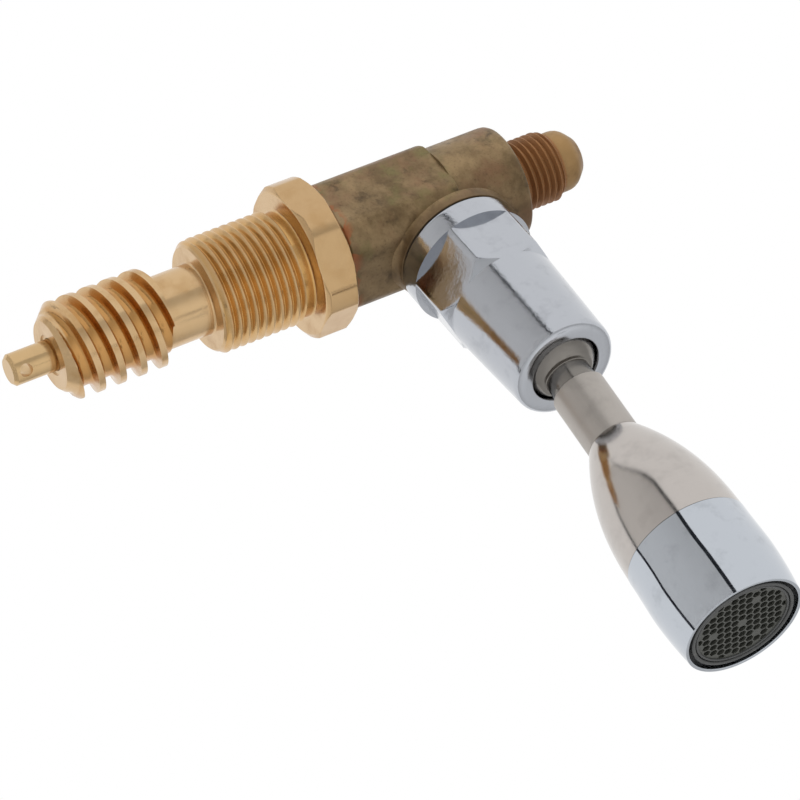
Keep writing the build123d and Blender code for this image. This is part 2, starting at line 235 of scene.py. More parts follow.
def spout_frame():
    """The spout's axis: straight down, leaned over by the tilt about the joint's own axis."""
    joint = next(j for j in frame["joints"] if j["name"] == "spout_tilt")
    lean = Matrix.Rotation(SPOUT_TILT, 3, Vector(joint["axis"]))
    return axes_from(Vector(joint["pos_m"]) / MM, lean @ Vector((0, 0, -1)), lean @ Vector((1, 0, 0)))


branch_y = next(j for j in frame["joints"] if j["name"] == "spout_swivel")["pos_m"][1] / MM
MAIN = axes_from((0, 0, 0), (0, 1, 0), (1, 0, 0))
BRANCH = axes_from((0, branch_y, 0), (0, 0, -1), (1, 0, 0))
SPOUT = spout_frame()


def smooth(low, high, x):
    """Smooth step from 0 at low to 1 at high."""
    t = np.clip((x - low) / (high - low), 0, 1)
    return t * t * (3 - 2 * t)


def outline(*corners, rounding=0.12, step=1.0):
    """An outline through (y, r) corners, each rounded by a short curve, walked in steps.

    A corner may carry its own rounding as a third number. Each corner becomes a quadratic curve between
    points set back along its two sides, and the straights between are cut into pieces no longer than step."""
    points = np.array([c[:2] for c in corners], float)
    sizes = [c[2] if len(c) > 2 else rounding for c in corners]
    walked = [points[:1]]
    for before, here, after, size in zip(points[:-2], points[1:-1], points[2:], sizes[1:-1]):
        room_in = np.linalg.norm(here - before)
        room_out = np.linalg.norm(after - here)
        back = min(size, 0.45 * room_in, 0.45 * room_out)
        start = here + (before - here) * back / room_in
        end = here + (after - here) * back / room_out
        t = np.linspace(0, 1, 5)[:, None]
        walked.append((1 - t) ** 2 * start + 2 * t * (1 - t) * here + t**2 * end)
    walked.append(points[-1:])
    chain = np.concatenate(walked)
    pieces = []
    for start, end in zip(chain[:-1], chain[1:]):
        count = max(1, int(np.ceil(np.linalg.norm(end - start) / step)))
        pieces.append(start + (end - start) * np.linspace(0, 1, count, endpoint=False)[:, None])
    pieces.append(chain[-1:])
    return np.concatenate(pieces)


def circles(path):
    """Rows of a plain turned surface: y and r of the path, the same all round."""
    return np.repeat(path[:, :1], AROUND + 1, axis=1), np.repeat(path[:, 1:2], AROUND + 1, axis=1)


def screw_rows(start, end, lead, step, radius):
    """Rows that climb with a thread: y = start + row * step - lead * turn, held between start and end.

    The radius is a formula of y and the angle. The step divides the lead, so the rows meet after a turn."""
    count = int(round((end - start + lead) / step)) + 1
    y = np.clip(start + np.arange(count)[:, None] * step - lead * theta[None] / (2 * np.pi), start, end)
    return y, radius(y)


def thread_radius(y, crest, root, pitch, starts, land, floor):
    """Radius of a right-hand screw thread over y and the angle round the axis.

    The phase is y over the pitch, plus the starts times the turn. The distance from the groove's middle,
    0 to 1, carries the radius from root to crest along a straight flank between floor and 1 - land."""
    from_groove = groove_share(y, pitch, starts, 0.0)
    return root + (crest - root) * np.clip((from_groove - floor) / (1 - land - floor), 0, 1)


def groove_share(y, pitch, starts, middle):
    """Distance from a screw groove's middle, over y and the angle: 0 in its middle, 1 on the ridge's."""
    phase = ((y - middle) / pitch + starts * theta[None] / (2 * np.pi)) % 1.0
    return 1 - np.abs(phase - 0.5) * 2


def round_groove_radius(y, crest, root, pitch, starts, land, middle):
    """Radius of a screw with round-bottomed grooves.

    Across a groove the depth is (1 - u^3)^(1/3) of the whole, u being 0 in its middle and 1 at its edge."""
    u = np.clip(groove_share(y, pitch, starts, middle) / (1 - land), 0, 1)
    return soft_min(crest + 0.1 - (crest + 0.1 - root) * (1 - u**3) ** (1 / 3), crest, 0.1)


def polygon_radius(flats, sides, corner):
    """Radius of a regular polygon: half the flats over the cosine of the angle from the nearest flat."""
    sector = 2 * np.pi / sides
    off = (theta - np.radians(corner)) % sector - sector / 2
    return flats / 2 / np.cos(off)


def soft_min(a, b, width):
    """The lesser of two radii, rounded over a width where they cross."""
    h = np.clip(0.5 + (b - a) / (2 * width), 0, 1)
    return b + (a - b) * h - width * h * (1 - h)


def mesh_from_rows(name, *stretches, axes):
    """A surface from rows round an axis: point = origin + r cos a * side + y * axis + r sin a * other."""
    origin, side, along, other = axes
    y = np.concatenate([s[0] for s in stretches])[..., None]
    r = np.concatenate([s[1] for s in stretches])[..., None]
    outward = np.cos(theta)[None, :, None] * side + np.sin(theta)[None, :, None] * other
    points = origin + r * outward + y * along
    rows = len(y)
    wide = AROUND + 1
    i, j = np.meshgrid(np.arange(rows), np.arange(AROUND), indexing="ij")
    down = (i + 1) % rows
    quads = np.stack([i * wide + j, i * wide + j + 1, down * wide + j + 1, down * wide + j], -1)
    mesh = bpy.data.meshes.new(name)
    mesh.from_pydata((points.reshape(-1, 3) * MM).tolist(), [], quads.reshape(-1, 4).tolist())
    return finished(name, mesh)


def finished(name, mesh, sharp=32):
    """Welds a mesh, points its faces outwards, and shades it smooth but for its sharp edges."""
    work = bmesh.new()
    work.from_mesh(mesh)
    bmesh.ops.remove_doubles(work, verts=work.verts, dist=1e-6)
    bmesh.ops.dissolve_degenerate(work, edges=work.edges, dist=1e-7)
    bmesh.ops.recalc_face_normals(work, faces=work.faces)
    work.to_mesh(mesh)
    work.free()
    mesh.shade_smooth()
    mesh.set_sharp_from_angle(angle=np.radians(sharp))
    piece = bpy.data.objects.new(name, mesh)
    bpy.context.scene.collection.objects.link(piece)
    return piece


def stand_for(piece, node, body):
    """Makes a piece stand for a CAD node, on that node's body."""
    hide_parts(node)
    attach(piece, body)
    return piece


def bonnet():
    """Turned bonnet: knob thread, neck, panel thread, hexagon with turned corners, skirt, stepped bore."""
    panel_front = -PANEL_LENGTH
    neck_front = panel_front - NECK_LENGTH
    front = neck_front - COARSE_LENGTH
    back = HEX_LENGTH + SKIRT_LENGTH
    spring_front = back - SPRING_BORE_LENGTH
    seal_front = spring_front - SEAL_BORE_LENGTH
    face_r = COARSE_R - COARSE_LEAD_IN
    land = COARSE_CREST / COARSE_PITCH - CREST_TRIM
    recess = front + FRONT_RECESS
    inside = outline(
        (back, SKIRT_R), (back, SPRING_BORE_R), (spring_front, SPRING_BORE_R), (spring_front, SEAL_BORE_R),
        (seal_front, SEAL_BORE_R), (seal_front, GUIDE_R), (recess, GUIDE_R), (recess, FRONT_BORE_R),
        (front, FRONT_BORE_R), (front, face_r), step=4.0)

    def knob_radius(y):
        ridges = round_groove_radius(
            y, COARSE_R, COARSE_ROOT_R, COARSE_PITCH, COARSE_STARTS, land, COARSE_GROOVE_AT)
        return soft_min(face_r + y - front, ridges, KNOB_SOFT)

    def panel_radius(y):
        ridges = thread_radius(y, PANEL_R, PANEL_ROOT_R, PANEL_PITCH, 1, PANEL_LAND, PANEL_FLOOR)
        return soft_min(PANEL_R - PANEL_CHAMFER + y - panel_front, ridges, PANEL_SOFT)

    knob_thread = screw_rows(front, neck_front, COARSE_STARTS * COARSE_PITCH, COARSE_STEP, knob_radius)
    neck = outline(
        (neck_front, NECK_R), (panel_front, NECK_R, 0.3), (panel_front, PANEL_R - PANEL_CHAMFER), step=1.0)
    panel_thread = screw_rows(
        panel_front, -RELIEF_WIDTH, PANEL_PITCH, PANEL_PITCH / PANEL_ROWS, panel_radius)
    rest = outline(
        (-RELIEF_WIDTH, RELIEF_R), (0, RELIEF_R, 0.35), (0, HEX_FLATS / 2), (HEX_EDGE, HEX_TURNED_R),
        (HEX_LENGTH - HEX_EDGE, HEX_TURNED_R), (HEX_LENGTH, HEX_FLATS / 2), (HEX_LENGTH, SKIRT_R), step=0.2)
    y, r = circles(rest)
    hexed = rest[:, 0] > -0.01
    rim = np.maximum(np.maximum(HEX_RIM - y[hexed], y[hexed] - HEX_LENGTH + HEX_RIM), 0)
    r[hexed] = np.minimum(r[hexed], polygon_radius(HEX_FLATS, 6, HEX_CORNER)[None] - rim)
    return mesh_from_rows(
        "turned_bonnet", circles(inside), knob_thread, circles(neck), panel_thread, (y, r), axes=MAIN)


def tee_main():
    """Tee's run: a square with softly turned corners, a round end, the threaded flare inlet and the bore."""
    flare_end = TEE_END + FLARE_LENGTH
    nose = flare_end + PILOT_LENGTH + NOSE_CONE
    square = outline(
        (TEE_START, CAVITY_R), (TEE_START, TEE_CORNER_R, 0.5), (TEE_SQUARE_END, TEE_CORNER_R, 0.35),
        (TEE_SQUARE_END, TEE_ROUND_R, 0.15), (TEE_END, TEE_ROUND_R, TEE_ROUNDING), (TEE_END, FLARE_R),
        step=0.5)
    y, r = circles(square)
    on_square = square[:, 0] < TEE_SQUARE_END - 0.02
    section = soft_min(polygon_radius(TEE_FLATS, 4, 45), np.full(AROUND + 1, TEE_CORNER_R), 0.35)
    r[on_square] = np.minimum(r[on_square], section[None])
    step_rows = (square[:, 0] >= TEE_SQUARE_END - 0.02) & (square[:, 1] > TEE_ROUND_R + 0.01)
    r[step_rows] = np.minimum(r[step_rows], np.maximum(section, TEE_ROUND_R)[None])

    def flare_radius(y):
        cut = FLARE_R - thread_radius(y, FLARE_R, FLARE_ROOT_R, FLARE_PITCH, 1, FLARE_LAND, FLARE_FLOOR)
        ridges = FLARE_R - smooth(0.0, FLARE_RUN_OUT, y - TEE_END) * cut
        return soft_min(PILOT_R + flare_end - y, ridges, FLARE_SOFT)

    thread = screw_rows(TEE_END, flare_end, FLARE_PITCH, FLARE_PITCH / FLARE_ROWS, flare_radius)
    end = outline(
        (flare_end, PILOT_R), (nose - NOSE_CONE, PILOT_R, NOSE_ROUNDING), (nose, INLET_BORE_R, 0.35),
        (SEAT_FACE, INLET_BORE_R), (SEAT_FACE, SEAT_OUTER_R), (CAVITY_END, SEAT_OUTER_R),
        (CAVITY_END, CAVITY_R), (TEE_START, CAVITY_R), step=2.0)
    return mesh_from_rows("aged_tee", (y, r), thread, circles(end), axes=MAIN)


def tee_branch():
    """Tee's branch: the round boss that the nut seats on, and the bored spigot that the nut screws on to.

    The boss flares into the run. At height d above its end its radius grows by the flare times
    ((d - land) / flare height) squared, and the flare fades away off the run's sides."""
    sunk = BOSS_START - BRANCH_SUNK
    path = outline(
        (sunk, BRANCH_BORE_R), (BOSS_START, BOSS_R - 1.2), (BOSS_START, BOSS_R, 0.1),
        (BOSS_END, BOSS_R, 0.15), (BOSS_END, SPIGOT_R), (SPIGOT_END, SPIGOT_R), (SPIGOT_END, BRANCH_BORE_R),
        (sunk, BRANCH_BORE_R), step=0.15)
    y, r = circles(path)
    flared = (path[:, 0] >= BOSS_START - 0.01) & (path[:, 0] <= BOSS_END) & (path[:, 1] > BOSS_R - 0.02)
    above = np.maximum(BOSS_END - BOSS_LAND - y[flared], 0)
    rise = BOSS_R + BOSS_FLARE * (above / BOSS_FLARE_HEIGHT) ** 2
    over_run = 1 - smooth(0.2, 0.62, np.abs(np.cos(theta)))[None]
    r[flared] = np.maximum(r[flared], BOSS_R + (rise - BOSS_R) * over_run)
    return mesh_from_rows("aged_branch", (y, r), axes=BRANCH)


def ball_nut():
    """Ball nut: collar, hexagon within the collar's circle, tapering barrel, rounded mouth, lip and socket.

    Below the hexagon its corners slope down to the barrel, and its flats fade into it."""
    hex_top = COLLAR_TOP + COLLAR_LENGTH
    hex_end = hex_top + NUT_HEX_LENGTH
    lip = np.sqrt(SOCKET_R**2 - MOUTH_HOLE_R**2)
    mouth = BALL_DEPTH + lip + MOUTH_LIP
    socket = arc_points(lip, 0.0, SOCKET_R, 12) + [BALL_DEPTH, 0]
    collar = outline((COLLAR_TOP, NUT_BORE_R), (COLLAR_TOP, COLLAR_R, 0.25), (hex_top, COLLAR_R), step=0.5)
    flat = soft_min(np.full(AROUND + 1, COLLAR_R), polygon_radius(NUT_FLATS, 6, NUT_CORNER), NUT_SOFT)[None]
    y = np.linspace(hex_top, hex_end + NUT_SLOPE + NUT_FADE + 0.5, NUT_ROWS)
    y = np.repeat(y[:, None], AROUND + 1, axis=1)
    wall = BARREL_TOP_R + (BARREL_MOUTH_R - BARREL_TOP_R) * (y - hex_end) / (mouth - hex_end)
    corner = np.minimum(flat, wall + (COLLAR_R - wall) * np.clip(1 - (y - hex_end) / NUT_SLOPE, 0, 1))
    fade = flat + (wall - flat) * smooth(hex_end - 0.5, hex_end + NUT_SLOPE + NUT_FADE, y)
    hexagon = y, np.where(flat > wall, np.maximum(corner, np.minimum(wall, flat)), fade)
    barrel = outline(
        (y[-1, 0], wall[-1, 0]), (mouth, BARREL_MOUTH_R, MOUTH_ROUNDING), (mouth, MOUTH_HOLE_R, 0.3),
        (BALL_DEPTH + lip, MOUTH_HOLE_R), step=0.25)
    bore = outline((BALL_DEPTH, NUT_BORE_R), (COLLAR_TOP, NUT_BORE_R), step=4.0)
    return mesh_from_rows(
        "chromed_ball_nut", circles(collar), hexagon, circles(barrel[1:]), circles(socket), circles(bore),
        axes=BRANCH)


def arc_points(start, end, radius, count=40):
    """Points on the ball: y from start to end with r the square root of the radius squared less y squared."""
    angle = np.linspace(np.arcsin(start / radius), np.arcsin(end / radius), count)
    return np.stack([radius * np.sin(angle), radius * np.cos(angle)], 1)


def spout_ball():
    """Steel ball cut flat on top and round its neck, with the neck and the tail inside the sleeve."""
    ball = arc_points(-BALL_TOP_CUT, BALL_FACE - 0.05, BALL_R)
    tail = SLEEVE_START + SLEEVE_SOCKET - TAIL_PLAY
    lower = outline(
        (BALL_FACE, np.sqrt(BALL_R**2 - BALL_FACE**2) - 0.08), (BALL_FACE, NECK_TUBE_R, 0.15),
        (SLEEVE_START, NECK_TUBE_R), (SLEEVE_START, TAIL_R), (tail, TAIL_R), (tail, WATERWAY_R),
        (-BALL_TOP_CUT, WATERWAY_R))
    return mesh_from_rows("steel_ball", circles(ball), circles(lower), axes=SPOUT)


def spout_sleeve():
    """Plain sleeve with softened ends."""
    socket = SLEEVE_START + SLEEVE_SOCKET
    socket_r = TAIL_R + TAIL_PLAY
    path = outline(
        (SLEEVE_START, socket_r), (SLEEVE_START, SLEEVE_R, 0.12), (SLEEVE_END, SLEEVE_R, 0.1),
        (SLEEVE_END, WATERWAY_R), (socket, WATERWAY_R), (socket, socket_r), (SLEEVE_START, socket_r))
    return mesh_from_rows("matt_sleeve", circles(path), axes=SPOUT)


def bell_radius(share):
    """Bell's radius over its length: from the sleeve's to the mouth's, fast at first and then ever slower.

    The gain is 1 less (1 - share) to the power 2.35, mixed with a little of the share itself."""
    gain = 1 - (1 - share) ** 2.35
    return SLEEVE_R + (BELL_MOUTH_R - SLEEVE_R) * (0.93 * gain + 0.07 * share)


def spout_bell():
    """Polished bell: the swelling outside, then the spigot and the plain inside."""
    share = np.linspace(0.0, 1.0, 90)
    outer = np.stack([SLEEVE_END + BELL_LENGTH * share, bell_radius(share)], 1)
    end = SLEEVE_END + BELL_LENGTH
    spigot = end + BELL_SPIGOT_LENGTH
    top_r = TAIL_R + TAIL_PLAY
    rest = outline(
        (end, BELL_MOUTH_R - 0.05), (end, BELL_SPIGOT_R), (spigot, BELL_SPIGOT_R), (spigot, BELL_INSIDE_R),
        (SLEEVE_END + BELL_INSIDE_START, BELL_INSIDE_R), (SLEEVE_END + BELL_TOP_WALL, top_r),
        (SLEEVE_END, top_r))
    return mesh_from_rows("polished_bell", circles(outer), circles(rest), axes=SPOUT)


def aerator_ring():
    """Chromed ring: a wall that swells a little and draws in to the lip, and the recess round the insert.

    The radius rises by twice the swell over the first half. Over the last share s of the wall, which starts
    at 0.4 of its length, it falls by the draw-in times s squared."""
    end = RING_START + RING_LENGTH
    along = np.linspace(0, 1, 60)
    fall = RING_DRAW_IN * np.clip((along - 0.4) / 0.6, 0, 1) ** 2
    wall = RING_R - RING_SWELL + 2 * RING_SWELL * smooth(0, 0.5, along) - fall
    outside = np.stack([RING_START + RING_LENGTH * along, wall], 1)
    inside = outline(
        (end + 0.02, wall[-1] - 0.04), (end, RING_LIP_R + 0.04, 0.1), (end - 0.5, RING_LIP_R, 0.1),
        (end - RING_POCKET, RING_LIP_R), (end - RING_POCKET, RING_BORE_R), (RING_START + 0.1, RING_BORE_R),
        (RING_START, RING_BORE_R + 0.05), (RING_START, RING_R - 0.15))
    return mesh_from_rows("chromed_aerator_ring", circles(outside), circles(inside), axes=SPOUT)


def cartridge():
    """Aerator's plastic insert: flange, plain wall, and a face with a fine groove between its two rings."""
    end = RING_START + RING_LENGTH - INSERT_INSET
    flange = RING_START + BELL_SPIGOT_LENGTH + SEAL_T
    path = outline(
        (flange, GRID_R), (flange, FLANGE_R), (flange + FLANGE_T, FLANGE_R), (flange + FLANGE_T, INSERT_R),
        (end, INSERT_R, 0.15),
        (end, GRID_R + 0.48, 0.12), (end - 0.4, GRID_R + 0.4, 0.04), (end - 0.4, GRID_R + 0.36, 0.04),
        (end - 0.12, GRID_R + 0.3, 0.08), (end - 0.12, GRID_R, 0.1), (flange, GRID_R), step=0.5)
    return mesh_from_rows("grey_cartridge", circles(path), axes=SPOUT)


def honeycomb():
    """Grid of six-sided cells with four blank ones, held within the insert's circle.

    A cell's centre is at pitch * (column + row / 2, row * sqrt 3 / 2)."""
    pitch = GRID_PITCH
    face = RING_START + RING_LENGTH - INSERT_INSET - GRID_INSET
    turn = np.radians(GRID_TURN)
    blanks = [0j] + [2 * np.sqrt(3) * pitch * np.exp(1j * np.radians(30 + 120 * k)) for k in range(3)]
    around = np.exp(1j * np.radians(30 + 60 * np.arange(6)))

    def held(points, radius):
        return points * np.minimum(1, radius / np.maximum(np.abs(points), 1e-6))

    work = bmesh.new()
    origin, side, along, other = SPOUT

    def corners(points, y):
        turned = points * np.exp(1j * turn)
        return [work.verts.new((origin + p.real * side + p.imag * other + y * along) * MM) for p in turned]

    for row in range(-8, 9):
        for column in range(-12, 13):
            centre = pitch * (column + row / 2 + 1j * row * np.sqrt(3) / 2)
            cell = centre + pitch / np.sqrt(3) * around
            if np.abs(cell).min() > GRID_R - 0.05:
                continue
            hole = held(centre + (pitch - GRID_WALL) / np.sqrt(3) * around, GRID_R - 0.1)
            size = 0.5 * np.abs(np.sum((np.conj(hole) * np.roll(hole, -1)).imag))
            outer = held(cell, GRID_R)
            blank = size < 0.3 * pitch**2 or min(abs(centre - b) for b in blanks) < 0.3 * pitch
            levels = (face, face - GRID_DEPTH)
            rings = [(corners(outer, y), None if blank else corners(hole, y)) for y in levels]
            for rim, bore in rings:
                if blank:
                    work.faces.new(rim)
                for k in range(0 if blank else 6):
                    work.faces.new((rim[k], rim[(k + 1) % 6], bore[(k + 1) % 6], bore[k]))
            for k in range(0 if blank else 6):
                top, low = rings[0][1], rings[1][1]
                work.faces.new((top[k], top[(k + 1) % 6], low[(k + 1) % 6], low[k]))
    bmesh.ops.remove_doubles(work, verts=work.verts, dist=1e-6)
    bmesh.ops.bridge_loops(work, edges=[e for e in work.edges if e.is_boundary])
    mesh = bpy.data.meshes.new("grey_honeycomb")
    work.to_mesh(mesh)
    work.free()
    return finished("grey_honeycomb", mesh)


# Materials


def linear(red, green, blue):
    """A colour written as 0 to 255 screen values, as scene-linear numbers."""
    c = np.array([red, green, blue]) / 255
    return tuple(np.where(c <= 0.04045, c / 12.92, ((c + 0.055) / 1.055) ** 2.4)) + (1.0,)


def make_group(name, inputs, outputs):
    """An empty shader node group with named sockets."""
    group = bpy.data.node_groups.new(name, "ShaderNodeTree")
    for label, kind, value in inputs:
        socket = group.interface.new_socket(name=label, in_out="INPUT", socket_type=kind)
        if value is not None:
            socket.default_value = value
    for label, kind in outputs:
        group.interface.new_socket(name=label, in_out="OUTPUT", socket_type=kind)
    return group, group.nodes.new("NodeGroupInput"), group.nodes.new("NodeGroupOutput")


def mottle_group():
    """Soft blotches: layered noise spread over the chosen low and high edges."""
    group, given, out = make_group(
        "mottle",
        [("Vector", "NodeSocketVector", None), ("Scale", "NodeSocketFloat", 200.0),
         ("Low", "NodeSocketFloat", 0.4), ("High", "NodeSocketFloat", 0.65)],
        [("Mask", "NodeSocketFloat")])
    noise = group.nodes.new("ShaderNodeTexNoise")
    noise.inputs["Detail"].default_value = 6.0
    noise.inputs["Roughness"].default_value = 0.62
    spread = group.nodes.new("ShaderNodeMapRange")
    spread.interpolation_type = "SMOOTHSTEP"
    group.links.new(given.outputs["Vector"], noise.inputs["Vector"])
    group.links.new(given.outputs["Scale"], noise.inputs["Scale"])
    group.links.new(noise.outputs["Fac"], spread.inputs["Value"])
    group.links.new(given.outputs["Low"], spread.inputs["From Min"])
    group.links.new(given.outputs["High"], spread.inputs["From Max"])
    group.links.new(spread.outputs["Result"], out.inputs["Mask"])
    return group


def turning_group():
    """Tool marks: noise drawn out round the axis, so it changes only along the piece's length."""
    group, given, out = make_group(
        "turning_marks",
        [("Vector", "NodeSocketVector", None), ("Lines", "NodeSocketFloat", 4000.0)],
        [("Height", "NodeSocketFloat")])
    split = group.nodes.new("ShaderNodeSeparateXYZ")
    noise = group.nodes.new("ShaderNodeTexNoise")
    noise.noise_dimensions = "1D"
    noise.inputs["Detail"].default_value = 3.0
    group.links.new(given.outputs["Vector"], split.inputs["Vector"])
    group.links.new(split.outputs["Y"], noise.inputs["W"])
    group.links.new(given.outputs["Lines"], noise.inputs["Scale"])
    group.links.new(noise.outputs["Fac"], out.inputs["Height"])
    return group


MOTTLE = mottle_group()
TURNING = turning_group()


class Finish:
    """A material in the making: its tree, its shader and the object coordinates, turned to a piece's axis."""

    def __init__(self, name, axes=MAIN):
        self.material = bpy.data.materials.new(name)
        self.material.use_nodes = True
        self.tree = self.material.node_tree
        self.shader = self.tree.nodes["Principled BSDF"]
        origin, side, along, other = axes
        turn = Matrix((side, along, other)).to_euler()
        place = self.node("ShaderNodeTexCoord")
        mapping = self.node("ShaderNodeMapping")
        mapping.inputs["Rotation"].default_value = turn
        self.link(place.outputs["Object"], mapping.inputs["Vector"])
        self.vector = mapping.outputs["Vector"]

    def node(self, kind):
        return self.tree.nodes.new(kind)

    def link(self, source, target):
        self.tree.links.new(source, target)

    def plain(self, **values):
        for label, value in values.items():
            self.shader.inputs[label.replace("_", " ")].default_value = value

    def mottle(self, scale, low, high):
        """Mask of soft blotches at a scale."""
        group = self.node("ShaderNodeGroup")
        group.node_tree = MOTTLE
        group.inputs["Scale"].default_value = scale
        group.inputs["Low"].default_value = low
        group.inputs["High"].default_value = high
        self.link(self.vector, group.inputs["Vector"])
        return group.outputs["Mask"]

    def turning(self, lines):
        """Height of tool marks."""
        group = self.node("ShaderNodeGroup")
        group.node_tree = TURNING
        group.inputs["Lines"].default_value = lines
        self.link(self.vector, group.inputs["Vector"])
        return group.outputs["Height"]

    def blend(self, mask, under, over):
        """A colour between two, by a mask. Each may be a colour or another socket."""
        mix = self.node("ShaderNodeMix")
        mix.data_type = "RGBA"
        self.link(mask, mix.inputs["Factor"])
        for value, socket in ((under, mix.inputs["A"]), (over, mix.inputs["B"])):
            if isinstance(value, tuple):
                socket.default_value = value
            else:
                self.link(value, socket)
        return mix.outputs["Result"]

    def spread(self, mask, low, high):
        """A mask spread over a range of values."""
        reach = self.node("ShaderNodeMapRange")
        reach.inputs["To Min"].default_value = low
        reach.inputs["To Max"].default_value = high
        self.link(mask, reach.inputs["Value"])
        return reach.outputs["Result"]

    def near(self, axis, start, end):
        """Mask that falls from 1 at start to 0 at end, in metres along one of the object's axes."""
        split = self.node("ShaderNodeSeparateXYZ")
        fall = self.node("ShaderNodeMapRange")
        fall.interpolation_type = "SMOOTHSTEP"
        fall.inputs["From Min"].default_value = start
        fall.inputs["From Max"].default_value = end
        fall.inputs["To Min"].default_value = 1.0
        fall.inputs["To Max"].default_value = 0.0
        self.link(self.vector, split.inputs["Vector"])
        self.link(split.outputs[axis], fall.inputs["Value"])
        return fall.outputs["Result"]

    def between(self, axis, start, end, soft):
        """Mask that is 1 between start and end along one of the axes, and falls to 0 outside over soft."""
        return self.both(self.near(axis, start, start - soft), self.near(axis, end, end + soft))

    def inside(self, low, high):
        """Mask that falls from 1 at the low to 0 at the high distance from the y axis, in metres."""
        flat = self.node("ShaderNodeVectorMath")
        flat.operation = "MULTIPLY"
        flat.inputs[1].default_value = (1.0, 0.0, 1.0)
        reach = self.node("ShaderNodeVectorMath")
        reach.operation = "LENGTH"
        fall = self.node("ShaderNodeMapRange")
        fall.inputs["From Min"].default_value = low
        fall.inputs["From Max"].default_value = high
        fall.inputs["To Min"].default_value = 1.0
        fall.inputs["To Max"].default_value = 0.0
        self.link(self.vector, flat.inputs[0])
        self.link(flat.outputs["Vector"], reach.inputs[0])
        self.link(reach.outputs["Value"], fall.inputs["Value"])
        return fall.outputs["Result"]

    def both(self, first, second):
        """Product of two masks."""
        product = self.node("ShaderNodeMath")
        product.operation = "MULTIPLY"
        self.link(first, product.inputs[0])
        self.link(second, product.inputs[1])
        return product.outputs["Value"]

    def bump(self, height, strength, distance):
        """Bump from a height, in metres."""
        bump = self.node("ShaderNodeBump")
        bump.inputs["Strength"].default_value = strength
        bump.inputs["Distance"].default_value = distance
        self.link(height, bump.inputs["Height"])
        self.link(bump.outputs["Normal"], self.shader.inputs["Normal"])

    def colour(self, socket):
        self.link(socket, self.shader.inputs["Base Color"])

    def rough(self, socket):
        self.link(socket, self.shader.inputs["Roughness"])


def bright_brass():
    """Clean machined brass, with faint tarnish and turning marks, painted orange shade in the thread grooves
    and a painted shade on the hexagon.
    """
    f = Finish("bright_brass")
    f.plain(Metallic=1.0)
    tarnish = f.blend(f.mottle(260, 0.42, 0.78), linear(208, 176, 133), linear(188, 151, 104))
    specks = f.blend(f.mottle(1500, 0.68, 0.8), tarnish, linear(150, 108, 68))
    # Painted shade: the deep parts of both threads' grooves are coloured a deeper orange than the crests, for
    # the shade and inter-reflection in them.
    knob_groove_shade_mask = f.both(f.inside(*KNOB_GROOVE_RADII), f.between("Y", *KNOB_GROOVES, 0.0003))
    panel_groove_shade_mask = f.both(f.inside(*PANEL_GROOVE_RADII), f.between("Y", *PANEL_GROOVES, 0.0002))
    # Painted shade: the hexagon's stretch is coloured a darker brass, for the shade on its flats.
    hex_shade_mask = f.between("Y", *HEX_STRETCH, 0.0002)
    hexagon = f.blend(f.spread(hex_shade_mask, 0.0, 0.55), specks, linear(184, 150, 106))
    knob_groove_shaded = f.blend(f.spread(knob_groove_shade_mask, 0.0, 0.85), hexagon, linear(190, 139, 78))
    f.colour(f.blend(f.spread(panel_groove_shade_mask, 0.0, 0.8), knob_groove_shaded, linear(204, 159, 94)))
    f.rough(f.spread(f.mottle(500, 0.3, 0.7), 0.16, 0.26))
    f.bump(f.turning(5200), 0.2, FINE_SKIN)
    return f.material


def aged_brass():
    """Oxidised brass: olive brown, cloudy, with red-brown stains by the joint and a reddened inlet thread."""
    f = Finish("aged_brass")
    f.plain(Metallic=0.6)
    ground = f.blend(f.mottle(200, 0.36, 0.68), linear(136, 114, 82), linear(94, 76, 50))
    cloudy = f.blend(f.mottle(110, 0.44, 0.68), ground, linear(120, 90, 65))
    green = f.blend(f.mottle(140, 0.52, 0.7), cloudy, linear(106, 98, 60))
    dark = f.blend(f.mottle(420, 0.54, 0.74), green, linear(74, 59, 40))
    speckled = f.blend(f.spread(f.mottle(2600, 0.5, 0.75), 0.0, 0.6), dark, linear(84, 66, 46))
    stain = f.both(f.mottle(330, 0.5, 0.54), f.near("Y", *JOINT_STAIN))
    stained = f.blend(stain, speckled, linear(146, 90, 55))
    boss = f.blend(f.spread(f.near("Z", *BOSS_SHADE), 0.0, 0.55), stained, linear(88, 68, 46))
    thread = f.blend(f.near("Y", *INLET_THREAD), boss, linear(140, 98, 60))
    nose = f.blend(f.mottle(300, 0.4, 0.7), linear(150, 119, 77), linear(116, 88, 54))
    f.colour(f.blend(f.near("Y", *INLET_NOSE), thread, nose))
    f.rough(f.spread(f.mottle(500, 0.3, 0.7), 0.4, 0.58))
    f.bump(f.mottle(1100, 0.2, 0.8), 0.3, COARSE_SKIN)
    return f.material


def chrome(name, tint, rough_low, rough_high, axes, grain, lumpy):
    """Bright plate with a faint cloudiness and water spots, and a skin lumpy at a grain."""
    f = Finish(name, axes)
    f.plain(Metallic=1.0)
    f.colour(f.blend(f.mottle(320, 0.5, 0.75), tint, tuple(0.86 * c for c in tint[:3]) + (1.0,)))
    f.rough(f.spread(f.mottle(600, 0.35, 0.7), rough_low, rough_high))
    f.bump(f.mottle(grain, 0.2, 0.8), lumpy, COARSE_SKIN)
    return f.material


def turned_steel(name, tint, rough_low, rough_high, axes):
    """Stainless steel with fine turning marks."""
    f = Finish(name, axes)
    f.plain(Metallic=1.0)
    f.colour(f.blend(f.mottle(300, 0.45, 0.75), tint, tuple(0.88 * c for c in tint[:3]) + (1.0,)))
    f.rough(f.spread(f.turning(3000), rough_low, rough_high))
    f.bump(f.turning(6500), 0.12, FINE_SKIN)
    return f.material


